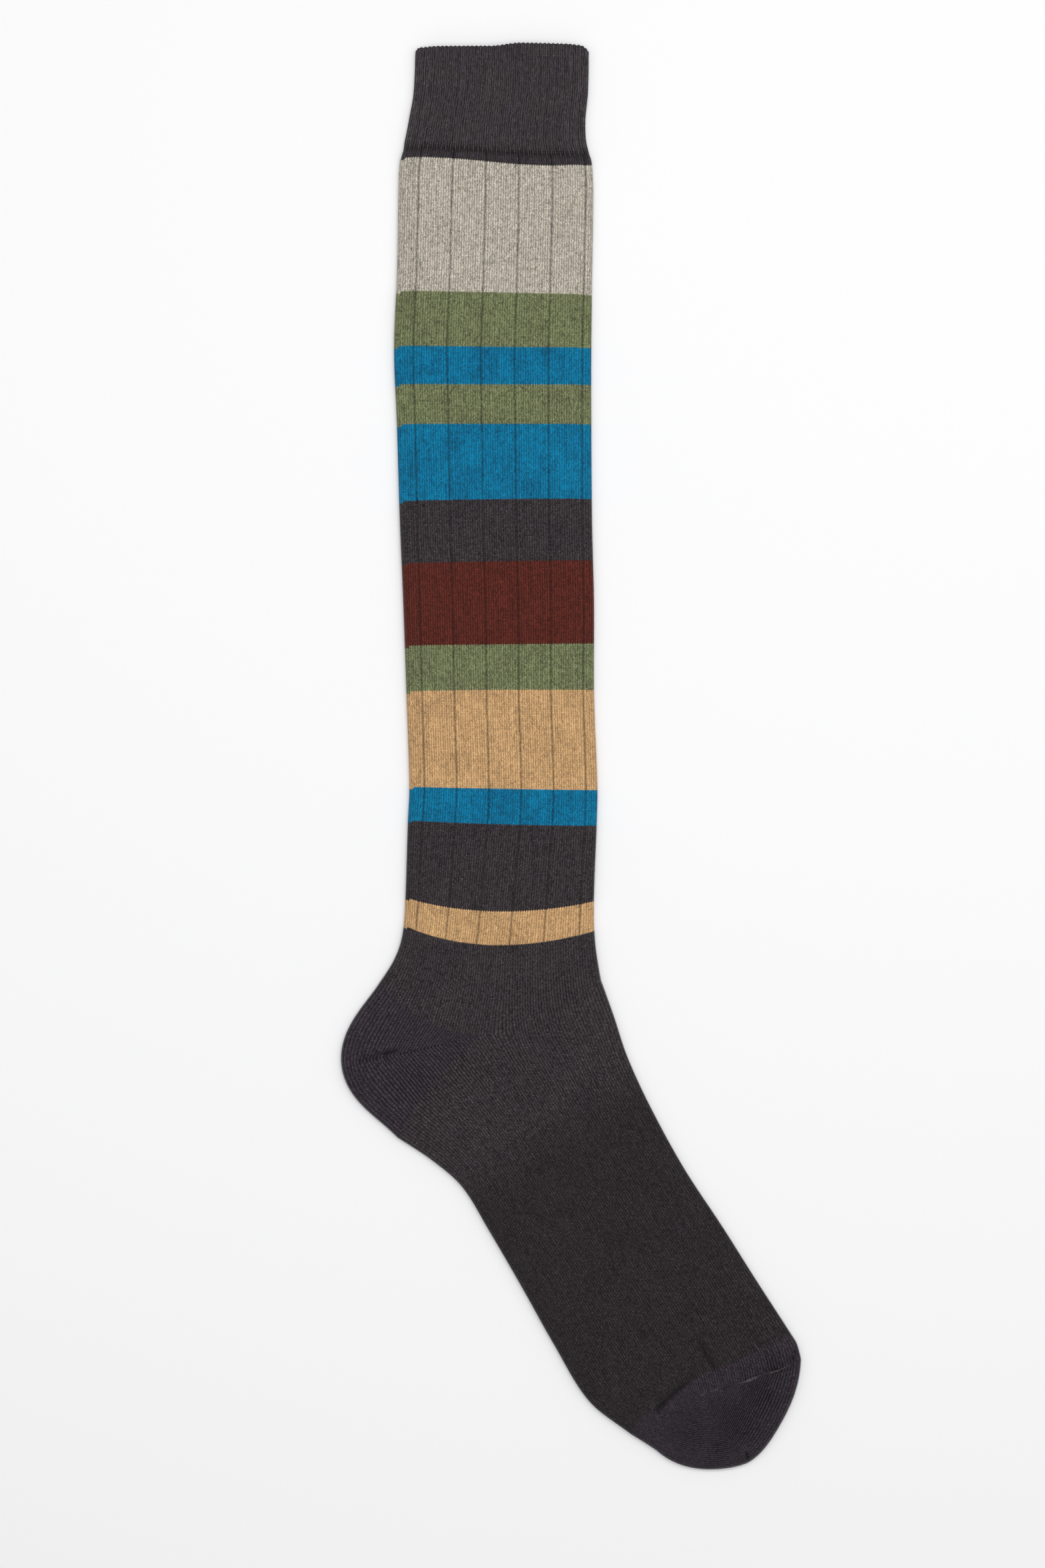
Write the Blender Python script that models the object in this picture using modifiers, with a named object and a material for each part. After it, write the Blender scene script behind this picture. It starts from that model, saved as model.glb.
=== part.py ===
"""A long knitted sock that lies folded flat on its side, in metres, +Z up.

The mouth of the cuff is at +Y, the leg runs towards -Y, and the foot turns off towards +X.
Each piece is a tube of knit in its own yarn, hollow inside, with its underside flat on z = 0.
In plan, a row of stitches runs from the left fold over the tube's middle to the right fold.
The heel and the toe are pockets: their rows fan out round a corner on the tube's middle line.
"""
import math
from collections import namedtuple

import bmesh
import bpy
from mathutils import Vector

LEG_LENGTH = 0.4230          # mouth of the cuff to the heel's corner, along the leg's middle
LEG_WIDTH = 0.0840           # the leg lying flat, fold to fold
FOOT_LENGTH = 0.2135         # heel's corner to the toe's tip, along the foot
FOOT_WIDTH = 0.0880          # the foot lying flat, fold to fold
FOOT_ANGLE = math.radians(35.0)   # between the leg and the foot

WALL = 0.0011                # one layer of plain knit
CUFF_WALL = 0.0013           # the cuff's doubled rib
FOLD_HOLLOW = 0.0014         # height of the hollow at the folds
HOLLOW = 0.0048              # height of the hollow in the cuff's middle
CROWN_RUN = 0.0100           # from a fold to where the top has its full height
CLEARANCE = 0.0003           # between one yarn's piece and the next

CUFF_RIBS = 42               # ribs on one side of the cuff, fold to fold
CUFF_RIB_DEPTH = 0.00025
CUFF_SCALLOP = 0.0004        # each rib's small bump on the mouth's edge
MOUTH_RISE = 0.0016          # the mouth's edge stands higher over its right half
RIB_LINES = 6                # sunk lines along one side of the leg, fold to fold
RIB_LINE_DEPTH = 0.00035
RIB_LINE_SPREAD = 0.018      # half a line's width, as a share of half the tube
FOLD_STEP = 0.04             # stops on the round of a fold, as shares of half the tube
SEAM_RISE = 0.0005           # the toe's closing seam above the knit

HEEL_BULGE = 0.18            # the heel's round beyond a plain turn of its rows
TOE_PINCH = 0.13             # the toe's flattening inside a plain turn of its rows
HEEL_SEGMENTS = 8
TOE_SEGMENTS = 10
CORNER_OPENING = 0.0006      # the heel's rows end this far from their corner
WELD = 0.00001

FOLD_HEIGHT = 2 * CUFF_WALL + FOLD_HOLLOW
CROWN_HEIGHT = 2 * CUFF_WALL + HOLLOW

YARNS = {
    "grey": "#ACA599",
    "green": "#6B7252",
    "blue": "#146B8F",
    "charcoal": "#393436",
    "maroon": "#562923",
    "tan": "#BA956A",
    "plum_black": "#343034",
}

Row = namedtuple("Row", "left middle right")
Stop = namedtuple("Stop", "share sink")

# The leg's outline. down: share of LEG_LENGTH from the mouth. left, right: reach from the
# leg's centre line, as shares of LEG_WIDTH.
Outline = namedtuple("Outline", "down left right")
LEG_OUTLINE = (
    Outline(0.000, 0.412, 0.473),
    Outline(0.045, 0.422, 0.469),
    Outline(0.073, 0.446, 0.456),
    Outline(0.095, 0.468, 0.460),
    Outline(0.116, 0.493, 0.488),
    Outline(0.145, 0.500, 0.496),
    Outline(0.225, 0.507, 0.491),
    Outline(0.305, 0.522, 0.486),
    Outline(0.385, 0.507, 0.486),
    Outline(0.480, 0.493, 0.490),
    Outline(0.560, 0.476, 0.500),
    Outline(0.655, 0.459, 0.500),
    Outline(0.750, 0.444, 0.517),
    Outline(0.785, 0.452, 0.514),
    Outline(0.860, 0.464, 0.500),
    Outline(0.890, 0.473, 0.500),
    Outline(0.910, 0.493, 0.506),
    Outline(0.928, 0.526, 0.517),
    Outline(0.950, 0.578, 0.533),
)

# The leg's pieces, mouth first. down: where the piece ends at the middle, as a share of
# LEG_LENGTH. left_drop, right_drop: how far that end hangs lower at each fold, and shift: how
# far its middle lies to the right, as shares of LEG_WIDTH. segments: steps along the piece.
Band = namedtuple("Band", "name yarn down left_drop right_drop shift segments")
MOUTH = Band("mouth", "", 0.0, 0.003, 0.014, 0.0, 0)
LEG_PIECES = (
    Band("cuff", "charcoal", 0.1175, -0.024, 0.014, 0.0, 4),
    Band("grey_band", "grey", 0.249, -0.010, 0.010, 0.0, 2),
    Band("green_band_1", "green", 0.304, -0.007, 0.003, 0.0, 1),
    Band("blue_band_1", "blue", 0.342, -0.003, 0.000, 0.0, 1),
    Band("green_band_2", "green", 0.382, 0.000, 0.000, 0.0, 1),
    Band("blue_band_2", "blue", 0.458, 0.014, -0.003, 0.0, 1),
    Band("charcoal_band_1", "charcoal", 0.521, 0.020, -0.007, 0.0, 1),
    Band("maroon_band", "maroon", 0.605, 0.012, -0.005, 0.0, 1),
    Band("green_band_3", "green", 0.651, 0.007, 0.000, 0.0, 1),
    Band("tan_band_1", "tan", 0.751, -0.010, 0.007, 0.0, 2),
    Band("blue_band_3", "blue", 0.787, -0.020, 0.007, 0.0, 1),
    Band("charcoal_band_2", "charcoal", 0.876, -0.075, -0.044, 0.0, 1),
    Band("tan_band_2", "tan", 0.910, -0.105, -0.061, 0.0, 1),
    Band("ankle", "charcoal", 1.000, -0.262, -0.276, -0.039, 2),
)

# The foot's rows from the heel's corner. along: share of FOOT_LENGTH at the row's middle.
# middle: how far the middle lies towards the sole. sole, instep: the folds' distances from
# the line through the heel's corner. sole_lead, instep_lead: how far each fold is ahead of
# the middle. All but along are shares of FOOT_WIDTH. The first row takes its instep end from
# the ankle.
FootRow = namedtuple("FootRow", "along middle sole instep sole_lead instep_lead")
FOOT_ROWS = (
    FootRow(0.000, 0.000, 0.626, 0.616, 0.176, 0.106),
    FootRow(0.095, 0.006, 0.551, 0.572, 0.136, 0.068),
    FootRow(0.187, 0.017, 0.506, 0.515, 0.099, 0.057),
    FootRow(0.304, 0.028, 0.520, 0.469, 0.057, 0.034),
    FootRow(0.445, 0.051, 0.547, 0.433, 0.034, 0.023),
    FootRow(0.585, 0.074, 0.580, 0.423, 0.023, 0.023),
    FootRow(0.712, 0.097, 0.598, 0.408, 0.034, 0.034),
    FootRow(0.806, 0.116, 0.526, 0.397, 0.048, 0.108),
    FootRow(0.849, 0.142, 0.465, 0.366, 0.092, 0.107),
)
TOE_STARTS = FOOT_ROWS[-2].along
RIB_PHASE_TOP = 0.72         # first rib line from the left fold, in spacings, at the mouth
RIB_PHASE_FOOT = 0.50        # and on the foot


def clear_scene():
    for old in list(bpy.data.objects):
        bpy.data.objects.remove(old, do_unlink=True)


def linear_colour(code):
    """An sRGB hex code as the linear colour that a material holds."""
    channels = [int(code[place:place + 2], 16) / 255 for place in (1, 3, 5)]
    return [c / 12.92 if c <= 0.04045 else ((c + 0.055) / 1.055) ** 2.4 for c in channels] + [1.0]


def yarn_material(piece, yarn):
    """Matt knit in one yarn."""
    material = bpy.data.materials.new(piece + "_knit")
    material.use_nodes = True
    shader = material.node_tree.nodes["Principled BSDF"]
    shader.inputs["Base Color"].default_value = linear_colour(YARNS[yarn])
    shader.inputs["Roughness"].default_value = 0.95
    shader.inputs["Metallic"].default_value = 0.0
    material.diffuse_color = linear_colour(YARNS[yarn])
    return material


def smooth_step(share):
    """0 to 1, level at both ends."""
    share = min(max(share, 0.0), 1.0)
    return share * share * (3 - 2 * share)


def slope(table, number, column):
    """Slope of a table's column at one of its rows, against the first column."""
    before = table[max(number - 1, 0)]
    after = table[min(number + 1, len(table) - 1)]
    return (getattr(after, column) - getattr(before, column)) / (after[0] - before[0])


def smooth_value(table, place, column):
    """A column's value at a place in the first column, on a smooth curve through the rows."""
    number = 0
    while number < len(table) - 2 and table[number + 1][0] < place:
        number += 1
    start = table[number]
    end = table[number + 1]
    run = end[0] - start[0]
    t = (place - start[0]) / run
    value = (1 + 2 * t) * (1 - t) ** 2 * getattr(start, column)
    value += t * t * (3 - 2 * t) * getattr(end, column)
    value += t * (1 - t) ** 2 * run * slope(table, number, column)
    return value - t * t * (1 - t) * run * slope(table, number + 1, column)


def leg_row(upper, lower, share):
    """The row at a share of the way from one piece's end to the next one's."""
    def mixed(column):
        return getattr(upper, column) * (1 - share) + getattr(lower, column) * share

    depth = mixed("down") * LEG_LENGTH
    left_depth = depth + mixed("left_drop") * LEG_WIDTH
    right_depth = depth + mixed("right_drop") * LEG_WIDTH
    left_reach = smooth_value(LEG_OUTLINE, left_depth / LEG_LENGTH, "left") * LEG_WIDTH
    right_reach = smooth_value(LEG_OUTLINE, right_depth / LEG_LENGTH, "right") * LEG_WIDTH
    middle_x = (right_reach - left_reach) / 2 + mixed("shift") * LEG_WIDTH
    left = Vector((-left_reach, -left_depth))
    right = Vector((right_reach, -right_depth))
    return Row(left, Vector((middle_x, -depth)), right)


def near_ankle(along):
    """1 at the foot's first row, fading to 0 at its third."""
    return 1 - smooth_step(along / FOOT_ROWS[2].along)


def foot_row(along, ankle_end):
    """The foot's row at a share of the foot's length, with its fold points in plan."""
    forward = Vector((math.sin(FOOT_ANGLE), -math.cos(FOOT_ANGLE)))
    towards_instep = Vector((math.cos(FOOT_ANGLE), math.sin(FOOT_ANGLE)))
    corner = ankle_end.middle
    middle_shift, sole, instep, sole_lead, instep_lead = [
        smooth_value(FOOT_ROWS, along, column) * FOOT_WIDTH for column in FootRow._fields[1:]]
    ahead = along * FOOT_LENGTH
    middle = corner + forward * ahead - towards_instep * middle_shift
    left = corner + forward * (ahead + sole_lead) - towards_instep * sole
    right = corner + forward * (ahead + instep_lead) + towards_instep * instep
    first_instep = corner + forward * FOOT_ROWS[0].instep_lead * FOOT_WIDTH
    first_instep += towards_instep * FOOT_ROWS[0].instep * FOOT_WIDTH
    right += (ankle_end.right - first_instep) * near_ankle(along)
    return Row(left, middle, right)


def across(row, t):
    """Plan point on the row's curve, from the left fold at 0 over the middle to the right at 1."""
    return row.left * (1 - t) * (1 - 2 * t) + row.middle * 4 * t * (1 - t) + row.right * t * (2 * t - 1)


def left_half(row):
    """The row's half from its left fold, 0, to its middle, 1."""
    return lambda t: across(row, t / 2)


def right_half(row):
    """The row's half from its right fold, 0, to its middle, 1."""
    return lambda t: across(row, 1 - t / 2)


def knit_point(half, stop, top):
    """Point on the outside of the tube, from a fold to the middle, over or under the hollow."""
    length = (half(1.0) - half(0.0)).length
    radius = FOLD_HEIGHT / 2
    quarter_turn = math.pi * radius / 2
    along = stop.share * (quarter_turn + length - radius)
    turn = min(along / radius, math.pi / 2)
    reach = radius * (1 - math.cos(turn)) + max(along - quarter_turn, 0.0)
    lift = math.sin(turn)
    crown = FOLD_HEIGHT + (CROWN_HEIGHT - FOLD_HEIGHT) * smooth_step(reach / CROWN_RUN)
    plan = half((reach + stop.sink * math.cos(turn)) / length)
    if top:
        height = radius + (crown - radius - stop.sink) * lift
    else:
        height = radius - (radius - stop.sink) * lift
    return Vector((plan.x, plan.y, height))


def foot_halves(along, ankle_end):
    """The halves of a foot row; on the instep the first row follows the ankle's end."""
    row = foot_row(along, ankle_end)
    own = right_half(row)
    wanted = right_half(ankle_end)
    unfitted = right_half(foot_row(0.0, ankle_end))
    return left_half(row), lambda t: own(t) + (wanted(t) - unfitted(t)) * near_ankle(along)


def rib_line_stops(phase, depth):
    """Stops from a fold to the middle, with a sunk rib line between each two plain stretches."""
    lines = RIB_LINES // 2
    stops = [Stop(0.0, 0.0), Stop(FOLD_STEP, 0.0), Stop(2 * FOLD_STEP, 0.0)]
    for line in range(lines):
        place = (phase + line) / lines
        stops += [Stop(place - RIB_LINE_SPREAD, 0.0), Stop(place, depth), Stop(place + RIB_LINE_SPREAD, 0.0)]
    stops.append(Stop(1.0, 0.0))
    return stops


def cuff_stops():
    """Stops from a fold to the middle, a crest and a groove for each rib."""
    return [Stop(number / CUFF_RIBS, CUFF_RIB_DEPTH * (number % 2)) for number in range(CUFF_RIBS + 1)]


def tube_ring(left, right, left_stops, right_stops, right_top_stops=None):
    """Points once round the tube, over the top from the left fold and back underneath."""
    over = [knit_point(left, stop, True) for stop in left_stops]
    over += [knit_point(right, stop, True) for stop in reversed(right_top_stops or right_stops)][1:]
    under = [knit_point(right, stop, False) for stop in right_stops][1:]
    under += [knit_point(left, stop, False) for stop in reversed(left_stops)][1:]
    return over + under


def fan_half(first, last, swell, turn):
    """Half a row of a pocket, from its edge at 0 to the corner at 1, at a share of the turn."""
    corner = first(1.0)
    from_corner = first(0.0) - corner
    to_corner = last(0.0) - corner
    start = math.atan2(from_corner.y, from_corner.x)
    sweep = (math.atan2(to_corner.y, to_corner.x) - start) % (2 * math.pi)
    reach = from_corner.length + (to_corner.length - from_corner.length) * turn
    reach *= swell(turn)
    angle = start + sweep * turn
    edge = corner + Vector((math.cos(angle), math.sin(angle))) * reach

    def half(t):
        bow_first = (first(t) - first(0.0).lerp(corner, t)) * (1 - turn) ** 2
        bow_last = (last(t) - last(0.0).lerp(corner, t)) * turn ** 2
        return edge.lerp(corner, t) + bow_first + bow_last
    return half


def pocket_ring(half, stops, top_stops=None):
    """Points from a pocket's corner underneath, round its edge, to its corner on top."""
    under = [knit_point(half, stop, False) for stop in reversed(stops)]
    over = [knit_point(half, stop, True) for stop in top_stops or stops][1:]
    return under + over


def trimmed(rings, first, last):
    """Rings whose end rings are drawn in by half a clearance, so that neighbours stay apart."""
    rings = [list(ring) for ring in rings]
    for wanted, end, inner in ((first, 0, 1), (last, -1, -2)):
        if wanted:
            rings[end] = [point + (towards - point).normalized() * CLEARANCE / 2
                          for point, towards in zip(rings[end], rings[inner])]
    return rings


def add_surface(mesh, rings):
    """A grid of faces through the points of the rings."""
    columns = len(rings[0]) - 1
    lines = len(rings) - 1
    grid = bmesh.ops.create_grid(mesh, x_segments=columns, y_segments=lines, size=0.5)
    for vert in grid["verts"]:
        column = round((vert.co.x + 0.5) * columns)
        line = round((vert.co.y + 0.5) * lines)
        vert.co = rings[line][column]


def knit_piece(name, yarn, wall, surfaces):
    """One solid of knit: surfaces welded at their shared points and thickened inwards."""
    bm = bmesh.new()
    for rings in surfaces:
        add_surface(bm, rings)
    bmesh.ops.remove_doubles(bm, verts=bm.verts, dist=WELD)
    bmesh.ops.dissolve_degenerate(bm, edges=bm.edges, dist=WELD)
    bmesh.ops.recalc_face_normals(bm, faces=bm.faces)
    highest = max(bm.faces, key=lambda face: face.calc_center_median().z)
    if highest.normal.z < 0:
        bmesh.ops.reverse_faces(bm, faces=bm.faces)
    mesh = bpy.data.meshes.new(name)
    bm.to_mesh(mesh)
    bm.free()
    mesh.materials.append(yarn_material(name, yarn))
    piece = bpy.data.objects.new(name, mesh)
    sock.objects.link(piece)
    thickness = piece.modifiers.new("Knit thickness", "SOLIDIFY")
    thickness.thickness = wall
    thickness.offset = -1.0
    return piece


def leg_rings(upper, lower, stops_at):
    """Rings down one of the leg's pieces; stops_at gives a row's stops left and right."""
    rings = []
    for step in range(lower.segments + 1):
        share = step / lower.segments
        left_stops, right_stops = stops_at(upper.down + (lower.down - upper.down) * share)
        row = leg_row(upper, lower, share)
        rings.append(tube_ring(left_half(row), right_half(row), left_stops, right_stops))
    return rings


def mouth_edge(ring):
    """The mouth's edge: each rib ends in a small bump, and the right half stands higher."""
    shaped = []
    for number, point in enumerate(ring):
        across_mouth = (point.x - ring[0].x) / (ring[2 * CUFF_RIBS].x - ring[0].x)
        rise = MOUTH_RISE * math.sin(math.pi * smooth_step(2 * across_mouth - 1))
        bump = CUFF_SCALLOP * (1 - number % 2)
        shaped.append(point + Vector((0, rise + bump, 0)))
    return shaped


def leg_stops(down):
    """The leg's rib lines run down from the cuff and drift a little towards the left fold."""
    phase = RIB_PHASE_TOP + (RIB_PHASE_FOOT - RIB_PHASE_TOP) * down
    return rib_line_stops(phase, RIB_LINE_DEPTH), rib_line_stops(1 - phase, RIB_LINE_DEPTH)


def make_cuff():
    """Doubled one-and-one rib, narrowest a little below its mouth."""
    rings = leg_rings(MOUTH, LEG_PIECES[0], lambda down: (cuff_stops(), cuff_stops()))
    rings[0] = mouth_edge(rings[0])
    return knit_piece("cuff", LEG_PIECES[0].yarn, CUFF_WALL, [trimmed(rings, False, True)])


def make_leg_pieces():
    """The leg's bands of yarn and the ankle, each a tube from the end of the piece above it."""
    for upper, lower in zip(LEG_PIECES, LEG_PIECES[1:]):
        rings = leg_rings(upper, lower, leg_stops)
        knit_piece(lower.name, lower.yarn, WALL, [trimmed(rings, True, True)])


def foot_stops(along):
    """Plain sole; the instep keeps the leg's rib lines, which fade towards the toe."""
    fade = 1 - smooth_step(along / TOE_STARTS)
    return rib_line_stops(RIB_PHASE_FOOT, 0.0), rib_line_stops(1 - RIB_PHASE_FOOT, RIB_LINE_DEPTH * fade)


def foot_rings(starts, ends, segments, ankle_end):
    rings = []
    for step in range(segments + 1):
        along = starts + (ends - starts) * step / segments
        rings.append(tube_ring(*foot_halves(along, ankle_end), *foot_stops(along)))
    return rings


def make_heel(ankle_end, foot_start):
    """The heel's pocket, whose rows turn round the corner from the ankle to the foot."""
    plain = rib_line_stops(RIB_PHASE_FOOT, 0.0)
    rings = []
    for step in range(HEEL_SEGMENTS + 1):
        turn = step / HEEL_SEGMENTS
        half = fan_half(left_half(ankle_end), left_half(foot_start),
                        lambda share: 1 + HEEL_BULGE * math.sin(math.pi * share), turn)
        length = (half(1.0) - half(0.0)).length
        stops = plain[:-1] + [Stop(1 - CORNER_OPENING / length, 0.0)]
        rings.append(pocket_ring(half, stops))
    return knit_piece("heel", "plum_black", WALL, [trimmed(rings, True, True)])


def make_foot(ankle_end):
    rings = foot_rings(0.0, TOE_STARTS, len(FOOT_ROWS) - 3, ankle_end)
    return knit_piece("foot", "charcoal", WALL, [trimmed(rings, True, True)])


def seam_stops(stops):
    """The closing seam stands a little above the knit, apart from its two ends."""
    raised = [Stop(stop.share, -SEAM_RISE) for stop in stops[2:-1]]
    return list(stops[:2]) + raised + [stops[-1]]


def make_toe(ankle_end):
    """A short tube, then a pocket that turns over the toes and closes on the instep's seam."""
    gore = FOOT_ROWS[-1].along
    rings = foot_rings(TOE_STARTS, gore, 2, ankle_end)
    sole, instep = foot_halves(gore, ankle_end)
    plain = rib_line_stops(RIB_PHASE_FOOT, 0.0)
    rings[-1] = tube_ring(sole, instep, plain, plain, seam_stops(plain))
    pocket = []
    for step in range(TOE_SEGMENTS + 1):
        turn = step / TOE_SEGMENTS
        half = fan_half(sole, instep,
                        lambda share: 1 - TOE_PINCH * math.sqrt(max(math.sin(math.pi * share), 0.0)), turn)
        pocket.append(pocket_ring(half, plain, seam_stops(plain) if step == TOE_SEGMENTS else None))
    return knit_piece("toe", "plum_black", WALL, [trimmed(rings, True, False), pocket])


def centre_over_origin():
    """The middle of the whole sock's outline goes over the origin."""
    points = [vert.co for piece in sock.objects for vert in piece.data.vertices]
    middle_x = (min(p.x for p in points) + max(p.x for p in points)) / 2
    middle_y = (min(p.y for p in points) + max(p.y for p in points)) / 2
    for point in points:
        point.x -= middle_x
        point.y -= middle_y


clear_scene()
sock = bpy.data.collections.new("Long sock")
bpy.context.scene.collection.children.link(sock)
ankle_row = leg_row(LEG_PIECES[-2], LEG_PIECES[-1], 1.0)
make_cuff()
make_leg_pieces()
make_heel(ankle_row, foot_row(0.0, ankle_row))
make_foot(ankle_row)
make_toe(ankle_row)
centre_over_origin()
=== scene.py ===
"""Looks of a long knitted sock that lies flat on its side, with the cuff's mouth at +Y.

Each yarn's piece is one closed wall of knit with its wales, rib lines and uneven ends modelled.
A wale is a column of stitches and a course is a row of them. A place on a tube is given in
wales: 0 at the left fold, 42 in the middle of the top, 84 at the right fold, 126 underneath.
"""

import math
from collections import namedtuple

import bmesh
import bpy
import numpy as np
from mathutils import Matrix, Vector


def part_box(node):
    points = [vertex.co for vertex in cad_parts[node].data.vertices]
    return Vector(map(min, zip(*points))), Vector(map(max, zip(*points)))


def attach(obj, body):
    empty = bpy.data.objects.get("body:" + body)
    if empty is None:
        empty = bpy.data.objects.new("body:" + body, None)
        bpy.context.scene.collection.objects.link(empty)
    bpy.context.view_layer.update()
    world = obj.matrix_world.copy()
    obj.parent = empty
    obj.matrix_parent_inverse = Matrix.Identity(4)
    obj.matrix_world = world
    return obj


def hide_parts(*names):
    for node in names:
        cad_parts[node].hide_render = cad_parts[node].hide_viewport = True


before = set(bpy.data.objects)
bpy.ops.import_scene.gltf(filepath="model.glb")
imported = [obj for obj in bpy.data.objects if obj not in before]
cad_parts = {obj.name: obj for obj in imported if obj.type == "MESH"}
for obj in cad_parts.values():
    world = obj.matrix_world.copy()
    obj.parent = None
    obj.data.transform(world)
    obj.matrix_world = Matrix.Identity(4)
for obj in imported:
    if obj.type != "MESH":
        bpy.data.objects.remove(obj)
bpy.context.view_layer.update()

# The sock's own sizes in metres. Its solids have the same ones, apart from small fits at the
# mouth, the heel and the toe.
LEG_LENGTH = 0.4230          # mouth of the cuff to the heel's corner, along the leg's middle
LEG_WIDTH = 0.0840           # the leg lying flat, fold to fold
FOOT_LENGTH = 0.2135         # heel's corner to the toe's tip, along the foot
FOOT_WIDTH = 0.0880          # the foot lying flat, fold to fold
FOOT_ANGLE = math.radians(35.0)
FORWARD = np.array((math.sin(FOOT_ANGLE), -math.cos(FOOT_ANGLE)))      # from heel to toe
TOWARDS_INSTEP = np.array((math.cos(FOOT_ANGLE), math.sin(FOOT_ANGLE)))
WALL = 0.0011                # one layer of plain knit
CUFF_WALL = 0.0013           # the cuff's doubled rib
FOLD_HOLLOW = 0.0014         # height of the hollow at the folds
HOLLOW = 0.0048              # height of the hollow in the middle
CROWN_RUN = 0.0100           # from a fold to where the top has its full height
MOUTH_RISE = 0.0013          # the mouth's edge stands higher over its right half
HEEL_BULGE = 0.16            # the heel's round beyond a plain turn of its rows
TOE_PINCH = 0.10             # the toe's flattening inside a plain turn of its rows
INSTEP_PINCH = 0.045         # and its further flattening on the instep's side
TOE_POINT = 0.045            # its blunt point, near the end of its gore line
POINT_TURN = 0.53            # where in the toe's turn the point is, as a share
POINT_SPREAD = 0.15          # and how wide it is
SEAM_BOW = 0.0024            # the closing seam bows this far towards the toe's end
BOW_STARTS = 0.70            # from this share of the foot's length the rows bow with it
SEAM_RADIUS = 0.00034
INSTEP_BEND = 0.012          # the wales' bend over the instep is spread over about this length
CLEARANCE = 0.0003           # gap between two of the solids
FOLD_HEIGHT = 2 * CUFF_WALL + FOLD_HOLLOW
CROWN_HEIGHT = 2 * CUFF_WALL + HOLLOW

# The knit, in metres unless it says wales
ROUND = 168                  # wales round the tube, one for each needle of the machine
HALF_SIDE = ROUND // 4       # wales from a fold to the middle of a side
WALE_STEP = 0.5              # mesh columns, in wales: a crest and a valley for each wale
COURSE = 0.00072             # height of one course of plain knit
LINE_STEP = 0.0012           # mesh lines along a piece
INNER_STEP = 0.012           # mesh lines along the plain inside of a wall
WALE_DEPTH = 0.00012         # valley between two wales
REINFORCED_DEPTH = 0.00020   # the same in the thicker yarn of the heel and the toe
RIB_LINE_WALES = 14          # wales from one sunk rib line to the next
RIB_LINE_DEPTH = 0.00020     # how far a rib line is sunk
RIB_LINE_TOP = 9.75          # first rib line from the left fold below the cuff, in wales
RIB_LINE_FOOT = 7.0          # and on the foot
TOOTH = 0.00028              # each wale's tip stands this far over a yarn change
JOG = 0.0010                 # a round of a new yarn ends this much lower than it began
JOG_PLACE = 3.0              # where a new yarn begins, in wales from the left fold
CUFF_RIBS = 84               # ribs round the cuff
CUFF_COURSE = 0.00105        # height of one of the cuff's courses
CUFF_RIB_STEP = 0.125        # mesh columns on the cuff, in ribs
CUFF_RIB_DEPTH = 0.00038     # grooves between the cuff's knit and purl columns
CUFF_PIT_DEPTH = 0.00030     # pits between the loops, in those grooves
CUFF_SCALLOP = 0.0006        # each rib's small bump on the mouth's edge
CUFF_CORNER = 0.0016         # the mouth's edge drops this far at its two corners
CUFF_PLAIN = 0.0036          # the plain edge below the rib
CUFF_GATHER = 0.0032         # where the rib draws in to the plain edge
GATHER_DEPTH = 0.00030       # how far the knit sinks there
GORE_DEPTH = 0.00040         # eyelets along the heel's and the toe's gore lines
GORE_WIDTH = 0.0008          # half the width of that line of eyelets
HEEL_EDGE = 0.105            # knit round the heel's fold: its courses lie closer than COURSE,
TOE_EDGE = 0.120             # so this is 1.3 times the fold's length in plan, as for the toe's
RIDGE_HEIGHT = 0.0003        # the knit's rise to the toe's closing seam
RIDGE_WIDTH = 0.0009
SEAM_LIFT = 0.00010          # the seam's yarn lies this far above the knit,
SEAM_SINK = 0.00050          # and goes down by this much before the right fold
WELD = 0.000001              # points nearer than this are one

# How dark the knit is painted, 0 to 1: painted shade in grooves and creases; a darker foot and toe
SHADE_SHOWS = 0.35           # less than this isn't seen
FOOT_SHADE = 0.68            # the foot, growing from the heel to its middle
TOE_SHADE = 0.48             # the whole toe

Row = namedtuple("Row", "left middle right")
Sheet = namedtuple("Sheet", "points wales courses shade")

# The leg's outline. down: share of LEG_LENGTH from the mouth. left, right: reach from the
# leg's centre line, as shares of LEG_WIDTH.
Outline = namedtuple("Outline", "down left right")
LEG_OUTLINE = (
    Outline(0.000, 0.412, 0.473),
    Outline(0.045, 0.422, 0.469),
    Outline(0.073, 0.446, 0.456),
    Outline(0.095, 0.468, 0.460),
    Outline(0.116, 0.493, 0.488),
    Outline(0.145, 0.500, 0.496),
    Outline(0.225, 0.507, 0.491),
    Outline(0.305, 0.522, 0.486),
    Outline(0.385, 0.507, 0.486),
    Outline(0.480, 0.493, 0.490),
    Outline(0.560, 0.476, 0.500),
    Outline(0.655, 0.459, 0.500),
    Outline(0.750, 0.444, 0.517),
    Outline(0.785, 0.452, 0.514),
    Outline(0.860, 0.464, 0.500),
    Outline(0.890, 0.473, 0.500),
    Outline(0.910, 0.493, 0.506),
    Outline(0.928, 0.532, 0.517),
    Outline(0.950, 0.604, 0.533),
)

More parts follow.
